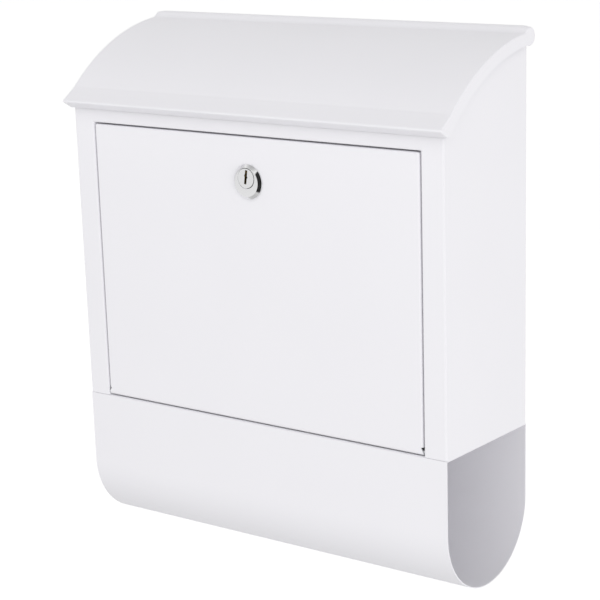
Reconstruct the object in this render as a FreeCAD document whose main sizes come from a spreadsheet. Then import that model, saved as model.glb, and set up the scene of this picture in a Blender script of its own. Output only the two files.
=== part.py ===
"""Wall-mounted sheet-steel mailbox with a curved lid, a locking door and a newspaper tube.

Frame: +X to the right, +Y into the wall, +Z up, millimetres. The origin is the centre of the
four wall-screw holes, on the wall plane. The box's back stands `wall_gap` off the wall.
"""
import FreeCAD, Part
import Sketcher
import math
import os

DRIVING_SIZES = {
    # the folded box
    "body_width": 365.0,
    "body_depth": 117.0,
    "sheet": 1.0,
    "wall_gap": 7.0,
    "mount_height": 150.0,
    "header_top": 252.0,
    "rear_flange": 12.0,
    "bend_radius": 1.5,
    "bend_inner_radius": 0.8,
    "edge_radius": 0.8,
    # the doorway and its folded jambs
    "opening_width": 324.0,
    "opening_height": 234.5,
    "jamb_depth": 15.0,
    "stop_lip": 6.0,
    # the wall mount
    "hole_spacing_across": 240.0,
    "hole_spacing_up": 200.0,
    "hole_radius": 3.5,
    "boss_radius": 12.0,
    "boss_flare": 5.0,
    # the newspaper tube and the floor over it
    "tube_straight": 60.9,
    "seam_gap": 0.3,
    "floor_flange": 12.0,
    "floor_flange_inset": 90.0,
    # the lid
    "lid_overhang": 4.0,
    "lid_gap": 1.2,
    "crown_back": 10.2,
    "crown_front_inset": 4.0,
    "lid_front_height": 261.5,
    "lid_rear_height": 310.4,
    "cheek_depth": 10.0,
    "cheek_front_inset": 3.0,
    "cheek_neck": 4.0,
    "lip_reach": 9.8,
    "lip_height": 251.6,
    "lip_radius": 1.4,
    "lip_top_angle": 123.5,
    "lip_low_angle": 238.8,
    "lip_return_gap": 1.2,
    "lip_return_height": 245.6,
    "hinge_height": 307.2,
    "hinge_inset": 1.6,
    "bead_radius": 8.0,
    "bead_start_angle": 165.0,
    "bead_end_angle": -65.0,
    "bead_cap_angle": 38.0,
    "bead_end_gap": 1.5,
    "ear_radius": 7.2,
    "lobe_radius": 6.0,
    "back_drop": 1.0,
    # the lid's pivots
    "pivot_radius": 2.5,
    "pivot_overrun": 1.0,
    "running_gap": 0.05,
    "bore_gap": 0.1,
    "pivot_spacer_radius": 4.5,
    "pivot_clip_radius": 5.0,
    "pivot_clip_thickness": 0.8,
    # the door
    "door_gap": 1.3,
    "door_bottom_gap": 1.0,
    "door_depth": 14.0,
    "door_lip": 10.0,
    "barrel_end_angle": 30.0,
    "barrel_run": 1.5,
    "door_foot_gap": 1.0,
    "rod_radius": 1.5,
    "rod_overrun": 3.5,
    "rod_clip_radius": 2.9,
    "rod_clip_thickness": 1.0,
    "rod_clip_gap": 0.3,
    # the cam lock
    "lock_height": 198.3,
    "lock_head_radius": 14.0,
    "lock_face_radius": 11.5,
    "lock_head_height": 3.0,
    "lock_rim": 0.7,
    "lock_barrel_radius": 10.0,
    "lock_flat": 8.7,
    "lock_barrel_gap": 0.4,
    "plug_rise": 3.1,
    "plug_face_radius": 7.75,
    "plug_face_depth": 1.6,
    "plug_radius": 6.2,
    "keyway_width": 2.2,
    "keyway_height": 11.2,
    "keyway_rise": 0.9,
    "keyway_tilt": 8.0,
    "keyway_depth": 14.0,
    "keyway_ward": 0.6,
    "keyway_ward_rise": 1.2,
    "plug_shoulder": 0.2,
    "wafer_thickness": 1.0,
    "wafer_pitch": 1.9,
    "wafer_width": 7.0,
    "wafer_height": 8.8,
    "wafer_first": 3.0,
    "wafer_window_gap": 0.2,
    "wafer_window_drop": 3.1,
    "wafer_window_rise": 2.6,
    "nut_across_flats": 24.0,
    "nut_thickness": 3.5,
    "lock_washer_radius": 13.0,
    "lock_washer_thickness": 0.8,
    "cam_gap": 1.0,
    "cam_thickness": 2.0,
    "cam_width": 15.0,
    "cam_reach": 43.0,
    "cam_shoulder": 6.0,
    "cam_tip": 3.0,
    "cam_tip_length": 4.5,
    "cam_square": 7.0,
    "cam_washer_radius": 5.5,
    "cam_washer_thickness": 0.8,
    "cam_screw_radius": 2.0,
    "cam_screw_length": 9.0,
    "cam_screw_end_gap": 0.5,
    "cam_screw_slot": 1.0,
    "cam_screw_slot_depth": 1.2,
    "cam_screw_head_radius": 3.8,
    "cam_screw_head_height": 2.6,
    # the blind rivets that hold the back panel
    "rivet_radius": 1.6,
    "rivet_head_radius": 3.2,
    "rivet_head_height": 0.9,
    "rivet_tail_radius": 2.56,
    "rivet_spacing": 120.0,
}
RIVETS_PER_SIDE = 3
WAFER_COUNT = 5
OVERCUT = 1.0       # how far a cutting outline runs past the metal
FAR_OUT = 20.0      # safely outside the box

doc = FreeCAD.newDocument("mailbox")
sheet = doc.addObject("Spreadsheet::Sheet", "Sizes")
for row, (alias, number) in enumerate(DRIVING_SIZES.items(), start=1):
    sheet.set("A%d" % row, alias)
    sheet.set("B%d" % row, str(number))
    sheet.setAlias("B%d" % row, alias)
derived = doc.addObject("App::VarSet", "Derived")
doc.recompute()


class Size:
    """A size that carries its number and the expression that ties it to the sheet."""

    def __init__(self, number, text):
        self.number = float(number)
        self.text = text

    def __add__(self, other):
        other = as_size(other)
        return Size(self.number + other.number, "(%s + %s)" % (self.text, other.text))

    def __sub__(self, other):
        other = as_size(other)
        return Size(self.number - other.number, "(%s - %s)" % (self.text, other.text))

    def __mul__(self, other):
        other = as_size(other)
        return Size(self.number * other.number, "(%s * %s)" % (self.text, other.text))

    def __truediv__(self, other):
        other = as_size(other)
        return Size(self.number / other.number, "(%s / %s)" % (self.text, other.text))

    def __rsub__(self, other):
        return as_size(other) - self

    def __neg__(self):
        return Size(-self.number, "(0 - %s)" % self.text)

    __radd__ = __add__
    __rmul__ = __mul__


def as_size(value):
    """Turn a plain number into a Size, and leave a Size as it is."""
    if isinstance(value, Size):
        return value
    return Size(value, repr(float(value)))


def size(alias):
    """The driving size with this alias."""
    return Size(DRIVING_SIZES[alias], "Sizes." + alias)


def root(value):
    """Square root of a Size."""
    return Size(math.sqrt(value.number), "sqrt(%s)" % value.text)


def square(value):
    """A Size times itself."""
    return value * value


def around(centre, radius, angle):
    """The point of a circle at this angle, in degrees from the first sketch axis."""
    turn = math.radians(angle.number)
    across = Size(math.cos(turn), "cos(%s * 1 deg)" % angle.text)
    up = Size(math.sin(turn), "sin(%s * 1 deg)" % angle.text)
    return (centre[0] + radius * across, centre[1] + radius * up)


def derive(name, value):
    """Store a worked-out size under its own name, and return it by that name."""
    derived.addProperty("App::PropertyFloat", name)
    derived.setExpression(name, value.text)
    return Size(value.number, "Derived." + name)


def bind(feature, name, value):
    """Set one property of a feature to a Size, tied to the sheet."""
    feature.setExpression(name, as_size(value).text)


# ---------------------------------------------------------------- sketch and feature helpers
# Each plane: the role of the body's own origin plane, and the sign of its normal along the
# remaining world axis. Sketch axes are (X, Y) on XY, (X, Z) on XZ and (Y, Z) on YZ.
PLANES = {"XY": ("XY_Plane", 1), "XZ": ("XZ_Plane", -1), "YZ": ("YZ_Plane", 1)}


class Arc:
    """A round stretch of an outline: from the point before it to `end`, about `centre`."""

    def __init__(self, end, centre, clockwise=False):
        self.end = end
        self.centre = centre
        self.clockwise = clockwise


def new_body(label):
    """An empty body that will be written as the node `label`."""
    body = doc.addObject("PartDesign::Body", label)
    body.Label = label
    body.AllowCompound = True
    body.Placement = FreeCAD.Placement()
    return body


def new_sketch(body, plane, level):
    """A sketch on one of the body's own origin planes, moved to `level` along the world axis."""
    role, sign = PLANES[plane]
    support = [item for item in body.Origin.OriginFeatures if item.Role == role][0]
    sketch = body.newObject("Sketcher::SketchObject", body.Label + "_sketch")
    sketch.AttachmentSupport = (support, [""])
    sketch.MapMode = "FlatFace"
    bind(sketch, "AttachmentOffset.Base.z", as_size(level) * sign)
    return sketch


def vector(point):
    """The numbers of a sketch point as a vector."""
    return FreeCAD.Vector(as_size(point[0]).number, as_size(point[1]).number, 0)


def tie_along(sketch, kind, element, corner, value):
    """Hold one point of a sketch element at its distance from the origin, along one axis."""
    value = as_size(value)
    index = sketch.addConstraint(Sketcher.Constraint(kind, -1, 1, element, corner, value.number))
    sketch.setExpression("Constraints[%d]" % index, value.text)


def tie_point(sketch, element, corner, point):
    """Hold one point of a sketch element at its place."""
    tie_along(sketch, "DistanceX", element, corner, point[0])
    tie_along(sketch, "DistanceY", element, corner, point[1])


def tie_centre(sketch, element, start, arc):
    """Hold an arc's centre, which its two tied ends leave free along one line."""
    chord = vector(arc.end) - vector(start)
    if abs(chord.x) > abs(chord.y):
        tie_along(sketch, "DistanceY", element, 3, arc.centre[1])
    else:
        tie_along(sketch, "DistanceX", element, 3, arc.centre[0])


def add_circle(sketch, centre, radius):
    """A circle in a sketch."""
    radius = as_size(radius)
    circle = Part.Circle(vector(centre), FreeCAD.Vector(0, 0, 1), radius.number)
    element = sketch.addGeometry(circle, False)
    tie_point(sketch, element, 3, centre)
    index = sketch.addConstraint(Sketcher.Constraint("Radius", element, radius.number))
    sketch.setExpression("Constraints[%d]" % index, radius.text)


def arc_geometry(start, arc):
    """The arc from `start` to the arc's end."""
    centre = vector(arc.centre)
    first = vector(start) - centre
    last = vector(arc.end) - centre
    radius = first.Length
    angles = [math.atan2(first.y, first.x), math.atan2(last.y, last.x)]
    if arc.clockwise:
        angles.reverse()
    circle = Part.Circle(centre, FreeCAD.Vector(0, 0, 1), radius)
    return Part.ArcOfCircle(circle, angles[0], angles[1])


def add_outline(sketch, path):
    """A closed outline of straight and round stretches, with every corner tied to the sheet."""
    corners = [item.end if isinstance(item, Arc) else item for item in path]
    elements = []
    for position, item in enumerate(path):
        start = corners[position - 1]
        if isinstance(item, Arc):
            element = sketch.addGeometry(arc_geometry(start, item), False)
            ends = (2, 1) if item.clockwise else (1, 2)
            tie_centre(sketch, element, start, item)
        else:
            element = sketch.addGeometry(Part.LineSegment(vector(start), vector(item)), False)
            ends = (1, 2)
        elements.append((element, ends))
    for position, (element, ends) in enumerate(elements):
        before, before_ends = elements[position - 1]
        sketch.addConstraint(
            Sketcher.Constraint("Coincident", before, before_ends[1], element, ends[0]))
        tie_point(sketch, element, ends[1], corners[position])


def add_box(sketch, left, right, bottom, top):
    """A rectangle in a sketch."""
    add_outline(sketch, [(left, bottom), (right, bottom), (right, top), (left, top)])


def extrude(body, kind, sketch, plane, start, end):
    """Pad or pocket a sketch that lies at `start`, up to `end` along the world axis."""
    sign = PLANES[plane][1]
    feature = body.newObject("PartDesign::" + kind, body.Label + "_" + kind.lower())
    feature.Profile = sketch
    run = (as_size(end) - start) * sign
    forward = run.number > 0
    bind(feature, "Length", run if forward else -run)
    feature.Reversed = not forward if kind == "Pad" else forward
    body.Tip = feature
    return feature


def pad(body, plane, start, end, draw, *shape):
    """Add the outline that `draw` makes, between two levels."""
    sketch = new_sketch(body, plane, start)
    draw(sketch, *shape)
    return extrude(body, "Pad", sketch, plane, start, end)


def pocket(body, plane, start, end, draw, *shape):
    """Remove the outline that `draw` makes, between two levels, and check that it cuts."""
    doc.recompute()
    before = body.Shape.Volume
    sketch = new_sketch(body, plane, start)
    draw(sketch, *shape)
    feature = extrude(body, "Pocket", sketch, plane, start, end)
    doc.recompute()
    if body.Shape.Volume >= before:
        raise RuntimeError(body.Label + ": a pocket removed nothing")
    return feature


def round_edges(body, radius, wanted):
    """Fillet the straight edges of the body whose middle point and direction are `wanted`."""
    doc.recompute()
    base = body.Tip
    names = []
    for number, edge in enumerate(base.Shape.Edges, start=1):
        if edge.Curve.TypeId == "Part::GeomLine":
            middle = edge.CenterOfMass
            if wanted(middle, edge.Curve.Direction):
                names.append("Edge%d" % number)
    fillet = body.newObject("PartDesign::Fillet", body.Label + "_bend")
    fillet.Base = (base, names)
    bind(fillet, "Radius", radius)
    body.Tip = fillet
    return fillet


def add_circles(sketch, centres, radius):
    """The same circle at each centre."""
    for centre in centres:
        add_circle(sketch, centre, radius)


def close_to(value, target):
    """Whether a coordinate lies on a level."""
    return abs(value - as_size(target).number) < 0.01


# ---------------------------------------------------------------- levels and outlines shared
thickness = size("sheet")
half = derive("half_width", size("body_width") / 2)
inner_half = half - thickness
rear = derive("rear_plane", -size("wall_gap"))
front = derive("front_plane", rear - size("body_depth"))
front_inside = front + thickness
rear_inside = rear - thickness
seam = derive("seam_level", -size("mount_height"))
header_top = seam + size("header_top")
opening_half = size("opening_width") / 2
opening_top = derive("opening_top", seam + size("opening_height"))
jamb_rear = derive("jamb_rear", front_inside + size("jamb_depth"))

hinge = (derive("hinge_y", rear - size("hinge_inset")),
         derive("hinge_z", seam + size("hinge_height")))
bead_inner = size("bead_radius") - thickness
back_top = derive("back_top", hinge[1] - size("bead_radius") - size("back_drop"))

# The lid's crown is an arc about a line behind the box, through its front and rear ends.
crown_y = derive("crown_y", rear + size("crown_back"))
crown_front = (derive("crown_front_y", front + size("crown_front_inset")),
               derive("crown_front_z", seam + size("lid_front_height")))
crown_rear = (derive("crown_rear_y", hinge[0] - size("bead_radius")),
              derive("crown_rear_z", seam + size("lid_rear_height")))
front_run = square(crown_front[0] - crown_y) + square(crown_front[1])
rear_run = square(crown_rear[0] - crown_y) + square(crown_rear[1])
crown_z = derive("crown_z", (front_run - rear_run) / ((crown_front[1] - crown_rear[1]) * 2))
crown = (crown_y, crown_z)
crown_radius = derive(
    "crown_radius", root(square(crown_front[0] - crown_y) + square(crown_front[1] - crown_z)))


def on_crown(level, inset):
    """The point of the crown's arc at this Y, the given distance inside the lid's surface."""
    reach = crown_radius - inset
    return (level, crown_z + root(square(reach) - square(as_size(level) - crown_y)))


# The door's foot curls round the rod, so the barrel is as large as the rod and sheet make it.
rod_bore = size("rod_radius") + size("running_gap")
barrel_radius = derive("barrel_radius", rod_bore + thickness)
rod_axis = (derive("rod_y", front + barrel_radius),
            derive("rod_z", seam + size("door_bottom_gap") + barrel_radius))

lock_z = derive("lock_z", seam + size("lock_height"))
plug_z = derive("plug_z", lock_z + size("plug_rise"))
lock_centre = (0, lock_z)
plug_centre = (0, plug_z)
lock_face = front - size("lock_head_height")
cam_front = derive("cam_front", jamb_rear + size("cam_gap"))
cam_rear = cam_front + size("cam_thickness")
screw_end = cam_rear + size("cam_washer_thickness") - size("cam_screw_length")
barrel_rear = cam_front - size("lock_barrel_gap")

SIDES = {"left": -1, "right": 1}


# ---------------------------------------------------------------- the fixed box
def build_body_wrap():
    """Side walls, front strips and header, folded from one sheet, with the jambs and lobes."""
    body = new_body("body_wrap")
    flange_end = half - size("rear_flange")
    plan = [(-half, rear), (-half, front), (half, front), (half, rear), (flange_end, rear),
            (flange_end, rear_inside), (inner_half, rear_inside), (inner_half, front_inside),
            (-inner_half, front_inside), (-inner_half, rear_inside),
            (-flange_end, rear_inside), (-flange_end, rear)]
    pad(body, "XY", seam, hinge[1] + size("lobe_radius"), add_outline, plan)
    bend = size("bend_radius")
    round_edges(body, bend, lambda at, along: abs(along.z) > 0.9 and close_to(abs(at.x), half)
                and close_to(at.y, front))
    round_edges(body, size("bend_inner_radius"), lambda at, along: abs(along.z) > 0.9
                and close_to(abs(at.x), inner_half) and close_to(at.y, front_inside))
    wall_inset = thickness + size("lid_gap")
    wall_start = on_crown(front_inside, wall_inset)
    wall_end = on_crown(hinge[0] - size("lobe_radius") + OVERCUT, wall_inset)
    sky = hinge[1] + FAR_OUT
    ahead = front - FAR_OUT
    behind = rear + FAR_OUT
    above = [(ahead, sky), (ahead, header_top), (front_inside, header_top), wall_start,
             Arc(wall_end, crown, clockwise=True), (behind, wall_end[1]), (behind, sky)]
    pocket(body, "YZ", -half - OVERCUT, half + OVERCUT, add_outline, above)
    pocket(body, "YZ", -inner_half, inner_half, add_box, rear_inside - size("bore_gap"), behind,
           back_top, sky)
    pocket(body, "XZ", front - OVERCUT, front_inside + size("bore_gap"), add_box, -opening_half,
           opening_half, seam - OVERCUT, opening_top)
    jamb_face = opening_half + thickness
    for side in SIDES.values():
        pad(body, "YZ", half * side, inner_half * side, add_circle, hinge, size("lobe_radius"))
        pad(body, "XY", seam, opening_top + thickness, add_jamb, side, jamb_face)
    pad(body, "XZ", front_inside, jamb_rear, add_box, -opening_half, opening_half,
        opening_top, opening_top + thickness)
    for side in SIDES.values():
        pocket(body, "YZ", (half + OVERCUT) * side, (inner_half - OVERCUT) * side, add_circle,
               hinge, size("pivot_radius") + size("running_gap"))
        pocket(body, "YZ", (jamb_face + OVERCUT) * side, (opening_half - OVERCUT) * side,
               add_circle, rod_axis, rod_bore)
    rivet_bore = size("rivet_radius") + size("running_gap")
    for side in SIDES.values():
        pocket(body, "XZ", rear + OVERCUT, rear_inside - OVERCUT, add_circles,
               rivet_centres(side), rivet_bore)


def add_jamb(sketch, side, jamb_face):
    """Plan of one jamb: the fold back from the opening's edge and its door-stop lip."""
    edge = opening_half * side
    face = jamb_face * side
    lip = (opening_half - size("stop_lip")) * side
    add_outline(sketch, [(edge, front_inside), (edge, jamb_rear - thickness),
                         (lip, jamb_rear - thickness), (lip, jamb_rear), (face, jamb_rear),
                         (face, front_inside)])


def rivet_centres(side):
    """Rivet places up one rear flange of the box."""
    across = (half - size("rear_flange") / 2) * side
    middle = (seam + back_top) / 2
    steps = [step - (RIVETS_PER_SIDE - 1) / 2 for step in range(RIVETS_PER_SIDE)]
    return [(across, middle + size("rivet_spacing") * step) for step in steps]


def mount_centres():
    """The four wall-screw holes."""
    across = size("hole_spacing_across") / 2
    up = size("hole_spacing_up") / 2
    return [(across * i, up * k) for i in (-1, 1) for k in (-1, 1)]


def add_boss(sketch, centre):
    """Half section of one pressed mounting boss, in the plane through its axis."""
    across, _ = centre
    hole = across + size("hole_radius")
    top = across + size("boss_radius")
    foot = top + size("boss_flare")
    panel_front = rear_inside - thickness
    add_outline(sketch, [(foot + thickness, rear_inside), (top + thickness, 0), (hole, 0),
                         (hole, -thickness), (top, -thickness), (foot, panel_front),
                         (foot + thickness, panel_front)])


def build_back_panel():
    """Flat back with four pressed bosses that stand the box off the wall."""
    body = new_body("back_panel")
    panel_front = rear_inside - thickness
    panel_half = inner_half - thickness - size("bore_gap")
    pad(body, "XZ", rear_inside, panel_front, add_box, -panel_half, panel_half, seam, back_top)
    foot = size("boss_radius") + size("boss_flare")
    pocket(body, "XZ", rear_inside + OVERCUT, panel_front - OVERCUT, add_circles,
           mount_centres(), foot)
    for centre in mount_centres():
        section = new_sketch(body, "XY", centre[1])
        add_boss(section, centre)
        ends = [(centre[0], -thickness), (centre[0], thickness)]
        axis = section.addGeometry(Part.LineSegment(vector(ends[0]), vector(ends[1])), True)
        tie_point(section, axis, 1, ends[0])
        tie_point(section, axis, 2, ends[1])
        boss = body.newObject("PartDesign::Revolution", "back_panel_boss")
        boss.Profile = section
        boss.ReferenceAxis = (section, ["Axis0"])
        boss.Angle = 360
        body.Tip = boss
    rivet_bore = size("rivet_radius") + size("running_gap")
    for side in SIDES.values():
        pocket(body, "XZ", rear_inside + OVERCUT, panel_front - OVERCUT, add_circles,
               rivet_centres(side), rivet_bore)


def build_back_rivets(name, side):
    """Blind rivets through the back panel and one rear flange of the box."""
    body = new_body("back_rivets_" + name)
    centres = rivet_centres(side)
    panel_front = rear_inside - thickness
    head = size("rivet_head_height")
    pad(body, "XZ", rear, panel_front, add_circles, centres, size("rivet_radius"))
    pad(body, "XZ", rear, rear + head, add_circles, centres, size("rivet_head_radius"))
    pad(body, "XZ", panel_front, panel_front - head, add_circles, centres,
        size("rivet_tail_radius"))


def build_floor_panel():
    """Floor of the letter space, with flanges up the side walls and down into the tube."""
    body = new_body("floor_panel")
    lower = seam - thickness
    drop = seam - size("floor_flange")
    rise = seam + size("floor_flange")
    pad(body, "XY", lower, seam, add_box, -half, half, front_inside, rear_inside)
    leg_half = half - size("floor_flange_inset")
    for start, end in ((front_inside, front_inside + thickness),
                       (rear_inside, rear_inside - thickness)):
        pad(body, "XZ", start, end, add_box, -leg_half, leg_half, drop, seam)
    for side in SIDES.values():
        pad(body, "YZ", inner_half * side, (inner_half - thickness) * side, add_box,
            front_inside + thickness, rear_inside - thickness, seam, rise)
    round_edges(body, size("edge_radius"), lambda at, along: abs(along.x) > 0.9
                and close_to(at.z, seam) and close_to(at.y, front_inside))


def build_newspaper_tube():
    """U-shaped sleeve under the box, open at both ends."""
    body = new_body("newspaper_tube")
    upper = seam - size("seam_gap")
    lower = seam - size("tube_straight")
    centre = ((front + rear) / 2, lower)
    section = [(front, upper), (front, lower), Arc((rear, lower), centre), (rear, upper),
               (rear_inside, upper), (rear_inside, lower),
               Arc((front_inside, lower), centre, clockwise=True), (front_inside, upper)]
    pad(body, "YZ", -half, half, add_outline, section)


# ---------------------------------------------------------------- the lid and its pivots
lid_half = derive("lid_half", half + size("lid_overhang"))
cheek_inner = lid_half - thickness
lip_tip = (derive("lip_y", front - size("lip_reach") + size("lip_radius")),
           derive("lip_z", seam + size("lip_height")))
lip_end = (front - size("lip_return_gap"), seam + size("lip_return_height"))
lip_top_angle = size("lip_top_angle")
lip_low_angle = size("lip_low_angle")


def build_lid_panel():
    """Curved lid with a flared lip, side cheeks with round ears, and a rolled rear bead."""
    body = new_body("lid_panel")
    pad(body, "YZ", -lid_half, lid_half, add_outline, lid_section())
    bead_half = inner_half - size("bead_end_gap")
    pad(body, "YZ", -bead_half, bead_half, add_outline, bead_section(size("bead_end_angle")))
    for side in SIDES.values():
        outer = lid_half * side
        inner = cheek_inner * side
        pad(body, "YZ", bead_half * side, inner, add_outline,
            bead_section(size("bead_cap_angle")))
        pad(body, "YZ", outer, inner, add_outline, cheek_outline())
        pad(body, "YZ", outer, inner, add_circle, hinge, size("ear_radius"))


def lid_section():
    """The lid's skin from the bead over the crown to the lip, which is folded back under."""
    lip = size("lip_radius")
    lip_inner = lip - thickness
    skin_start = hinge[0] - bead_inner
    inner_front = around(crown_front, -thickness, lip_top_angle)
    return [on_crown(skin_start, 0), Arc(crown_front, crown),
            around(lip_tip, lip, lip_top_angle), Arc(around(lip_tip, lip, lip_low_angle), lip_tip),
            lip_end, (lip_end[0], lip_end[1] + thickness),
            around(lip_tip, lip_inner, lip_low_angle),
            Arc(around(lip_tip, lip_inner, lip_top_angle), lip_tip, clockwise=True),
            on_crown(inner_front[0], thickness),
            Arc(on_crown(skin_start, thickness), crown, clockwise=True)]


def bead_section(end_angle):
    """C-shaped roll along the lid's rear edge, from the crown over the top to `end_angle`."""
    outer = size("bead_radius")
    start_angle = size("bead_start_angle")
    return [around(hinge, outer, start_angle),
            Arc(around(hinge, outer, end_angle), hinge, clockwise=True),
            around(hinge, bead_inner, end_angle), Arc(around(hinge, bead_inner, start_angle), hinge)]


def cheek_outline():
    """Side cheek of the lid: a band under the crown from the lip to the ear."""
    depth = size("cheek_depth")
    lip = size("lip_radius")
    rear_low = on_crown(hinge[0] - size("cheek_neck"), depth)
    front_low = on_crown(front + size("cheek_front_inset"), depth)
    return [on_crown(hinge[0], 0), Arc(crown_front, crown),
            around(lip_tip, lip, lip_top_angle), Arc(around(lip_tip, lip, lip_low_angle), lip_tip),
            lip_end, front_low, Arc(rear_low, crown, clockwise=True),
            (hinge[0], hinge[1] - bead_inner)]


def build_pivot(name, side):
    """Pin welded inside one cheek, its spacer, and the push-on clip inside the side wall."""
    slack = size("running_gap") * 2
    clip_outer = inner_half - slack
    clip_inner = clip_outer - size("pivot_clip_thickness")
    pin = new_body("lid_pivot_pin_" + name)
    pad(pin, "YZ", cheek_inner * side, (clip_inner - size("pivot_overrun")) * side, add_circle,
        hinge, size("pivot_radius"))
    build_ring("lid_pivot_spacer_" + name, "YZ", cheek_inner * side, (half + slack) * side,
               hinge, size("pivot_spacer_radius"), size("pivot_radius"))
    build_ring("lid_pivot_clip_" + name, "YZ", clip_outer * side, clip_inner * side, hinge,
               size("pivot_clip_radius"), size("pivot_radius"))


def build_ring(label, plane, start, end, centre, outer, inner):
    """A flat ring, such as a washer or a push-on clip."""
    body = new_body(label)
    pad(body, plane, start, end, add_ring, centre, outer, inner)


def add_ring(sketch, centre, outer, inner):
    """Two circles about one centre."""
    add_circle(sketch, centre, outer)
    add_circle(sketch, centre, inner)


# ---------------------------------------------------------------- the door and its hinge
door_half = derive("door_half", opening_half - size("door_gap"))
door_top = derive("door_top", opening_top - size("door_gap"))
door_back = derive("door_back", front + size("door_depth"))


def build_door_panel():
    """Pan door: face sheet, folded edges with return lips, and a barrel curled at the foot."""
    body = new_body("door_panel")
    barrel = barrel_radius
    end_angle = size("barrel_end_angle")
    section = [(front, door_top), (front, rod_axis[1]),
               Arc(around(rod_axis, barrel, end_angle), rod_axis),
               around(rod_axis, rod_bore, end_angle),
               Arc((rod_axis[0] - rod_bore, rod_axis[1]), rod_axis, clockwise=True),
               (front_inside, rod_axis[1] + size("barrel_run")),
               (front_inside, door_top - thickness),
               (door_back - thickness, door_top - thickness),
               (door_back - thickness, door_top - size("door_lip")),
               (door_back, door_top - size("door_lip")), (door_back, door_top)]
    pad(body, "YZ", -door_half, door_half, add_outline, section)
    foot = rod_axis[1] + barrel + size("door_foot_gap")
    for side in SIDES.values():
        outer = door_half * side
        inner = (door_half - thickness) * side
        lip = (door_half - size("door_lip")) * side
        pad(body, "YZ", outer, inner, add_box, front + thickness / 2, door_back, foot, door_top)
        pad(body, "XZ", door_back, door_back - thickness, add_box, outer, lip, foot, door_top)
    for side in SIDES.values():
        round_edges(body, size("edge_radius"), lambda at, along: abs(along.z) > 0.9
                    and close_to(at.x, door_half * side) and close_to(at.y, front)
                    and at.z > rod_axis[1].number + barrel.number)
    round_edges(body, size("edge_radius"), lambda at, along: abs(along.x) > 0.9
                and close_to(at.z, door_top) and close_to(at.y, front))
    pocket(body, "XZ", front - OVERCUT, front_inside + OVERCUT, add_barrel_outline,
           size("lock_barrel_radius") + size("bore_gap"), size("lock_flat") + size("bore_gap"))


def add_barrel_outline(sketch, radius, flat):
    """The lock barrel's outline: a circle with two upright flats."""
    rise = root(square(radius) - square(flat))
    upper = lock_z + rise
    lower = lock_z - rise
    add_outline(sketch, [(flat, upper), Arc((-flat, upper), lock_centre),
                         (-flat, lower), Arc((flat, lower), lock_centre)])


def build_door_hinge():
    """Rod through the door's curled foot and both jambs, kept by an open clip at each end."""
    jamb_face = opening_half + thickness
    rod_end = jamb_face + size("rod_overrun")
    rod = new_body("door_hinge_rod")
    pad(rod, "YZ", -rod_end, rod_end, add_circle, rod_axis, size("rod_radius"))
    reach = size("rod_clip_radius")
    for name, side in SIDES.items():
        clip = new_body("hinge_rod_clip_" + name)
        start = jamb_face * side
        end = (jamb_face + size("rod_clip_thickness")) * side
        pad(clip, "YZ", start, end, add_box, front_inside + size("rod_clip_gap"),
            rod_axis[0] + reach, rod_axis[1] - reach, rod_axis[1] + reach)
        pocket(clip, "YZ", start - OVERCUT * side, end + OVERCUT * side, add_circle, rod_axis,
               size("rod_radius"))


# ---------------------------------------------------------------- the cam lock
def build_lock_housing():
    """Chamfered round head and flatted barrel, bored off-centre for the plug."""
    body = new_body("lock_housing")
    pad(body, "XZ", front, lock_face, add_circle, lock_centre, size("lock_head_radius"))
    doc.recompute()
    base = body.Tip
    rim_edges = ["Edge%d" % number for number, edge in enumerate(base.Shape.Edges, start=1)
                 if edge.Curve.TypeId == "Part::GeomCircle"
                 and close_to(edge.Curve.Center.y, lock_face)]
    chamfer = body.newObject("PartDesign::Chamfer", "lock_head_chamfer")
    chamfer.Base = (base, rim_edges)
    chamfer.ChamferType = "Two distances"
    bind(chamfer, "Size", size("lock_head_radius") - size("lock_face_radius"))
    bind(chamfer, "Size2", size("lock_head_height") - size("lock_rim"))
    body.Tip = chamfer
    pad(body, "XZ", front, barrel_rear, add_barrel_outline, size("lock_barrel_radius"),
        size("lock_flat"))
    slack = size("running_gap")
    pocket(body, "XZ", lock_face - OVERCUT, lock_face + size("plug_face_depth") + slack,
           add_circle, plug_centre, size("plug_face_radius") + slack)
    pocket(body, "XZ", lock_face, barrel_rear + OVERCUT, add_circle, plug_centre,
           size("plug_radius") + slack)


def build_lock_plug():
    """Turning plug with its keyway, wafer slots and the square that carries the cam."""
    body = new_body("lock_plug")
    face_end = lock_face + size("plug_face_depth")
    square_half = size("cam_square") / 2
    pad(body, "XZ", lock_face, face_end, add_circle, plug_centre, size("plug_face_radius"))
    shoulder = cam_front - size("plug_shoulder")
    pad(body, "XZ", face_end, shoulder, add_circle, plug_centre, size("plug_radius"))
    pad(body, "XZ", shoulder, cam_rear, add_box, -square_half, square_half,
        plug_z - square_half, plug_z + square_half)
    pocket(body, "XZ", lock_face, lock_face + size("keyway_depth"), add_outline, keyway_outline())
    slack = size("running_gap")
    slot_half = size("wafer_width") / 2 + slack
    slot_rise = size("wafer_height") / 2 + slack
    for start, end in wafer_levels():
        pocket(body, "XZ", start - slack, end + slack, add_box, -slot_half, slot_half,
               plug_z - slot_rise, plug_z + slot_rise)
    pocket(body, "XZ", cam_rear + OVERCUT, screw_end - size("cam_screw_end_gap"), add_circle,
           plug_centre, size("cam_screw_radius"))


def keyway_outline():
    """The keyhole's outline: a slot with a small ward on each side, a little off upright."""
    wide = size("keyway_width") / 2
    tall = size("keyway_height") / 2
    rise = size("keyway_ward_rise")
    ward = wide + size("keyway_ward")
    upright = [(-wide, -tall), (wide, -tall), (wide, -rise), (ward, 0), (wide, rise),
               (wide, tall), (-wide, tall), (-wide, rise * 2), (-ward, rise), (-wide, 0)]
    lean, rest = around((as_size(0), as_size(0)), as_size(1), 90 - size("keyway_tilt"))
    middle = plug_z + size("keyway_rise")
    return [(rest * across + lean * up, middle + rest * up - lean * across)
            for across, up in upright]


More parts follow.
